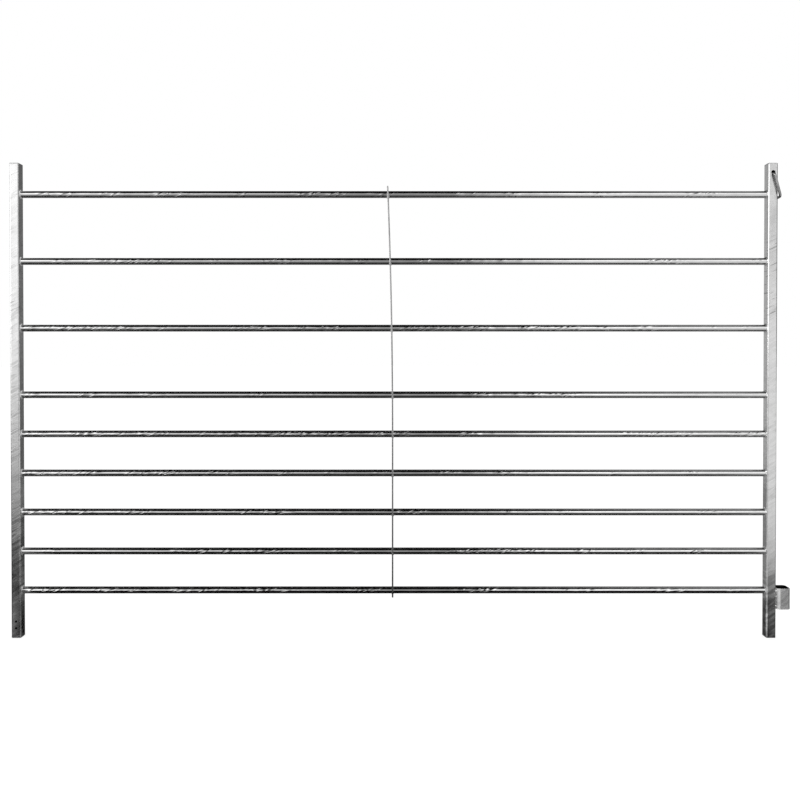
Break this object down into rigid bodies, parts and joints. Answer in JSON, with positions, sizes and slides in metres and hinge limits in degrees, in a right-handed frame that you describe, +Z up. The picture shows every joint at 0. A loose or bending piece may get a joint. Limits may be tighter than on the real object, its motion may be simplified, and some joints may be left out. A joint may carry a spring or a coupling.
{
  "type": "livestock panel gate",
  "caption": "Galvanised livestock panel gate: square posts, round rails closer together near the ground, a flat centre stay, a coupling sleeve and a swinging locking ring.",
  "frame": {"origin": "centre of the left post's foot, on the ground", "axes": "+X along the rails towards the post with the sleeve and ring, +Y to the back, +Z up"},
  "size_m": [3.055, 0.064, 1.86],
  "materials": {
    "galvanised_post": "hot-dip galvanised zinc, satin, streaked and mottled",
    "galvanised_rail": "hot-dip galvanised zinc, satin, streaked and mottled",
    "galvanised_stay": "hot-dip galvanised zinc, satin, streaked and mottled",
    "galvanised_sleeve": "hot-dip galvanised zinc, satin, streaked and mottled",
    "galvanised_ring": "hot-dip galvanised zinc, satin, streaked and mottled",
    "galvanised_cap": "hot-dip galvanised zinc, satin, streaked and mottled",
    "galvanised_weld": "hot-dip galvanised zinc, satin, streaked and mottled"
  },
  "bodies": {
    "frame": {"left_post": "galvanised_post", "right_post": "galvanised_post", "rail_1": "galvanised_rail", "rail_2": "galvanised_rail", "rail_3": "galvanised_rail", "rail_4": "galvanised_rail", "rail_5": "galvanised_rail", "rail_6": "galvanised_rail", "rail_7": "galvanised_rail", "rail_8": "galvanised_rail", "rail_9": "galvanised_rail", "centre_stay": "galvanised_stay", "coupling_sleeve": "galvanised_sleeve", "left_top_cap": "galvanised_cap", "left_foot_cap": "galvanised_cap", "right_top_cap": "galvanised_cap", "right_foot_cap": "galvanised_cap", "left_rail_welds": "galvanised_weld", "right_rail_welds": "galvanised_weld", "stay_welds": "galvanised_weld", "sleeve_welds": "galvanised_weld"},
    "ring": {"locking_ring": "galvanised_ring"}
  },
  "joints": [
    {"name": "link_swing", "type": "hinge", "parent": "frame", "child": "ring", "pos_m": [2.962, 0, 1.82], "axis": [0, -1, 0], "range_deg": [0, 292]}
  ]
}
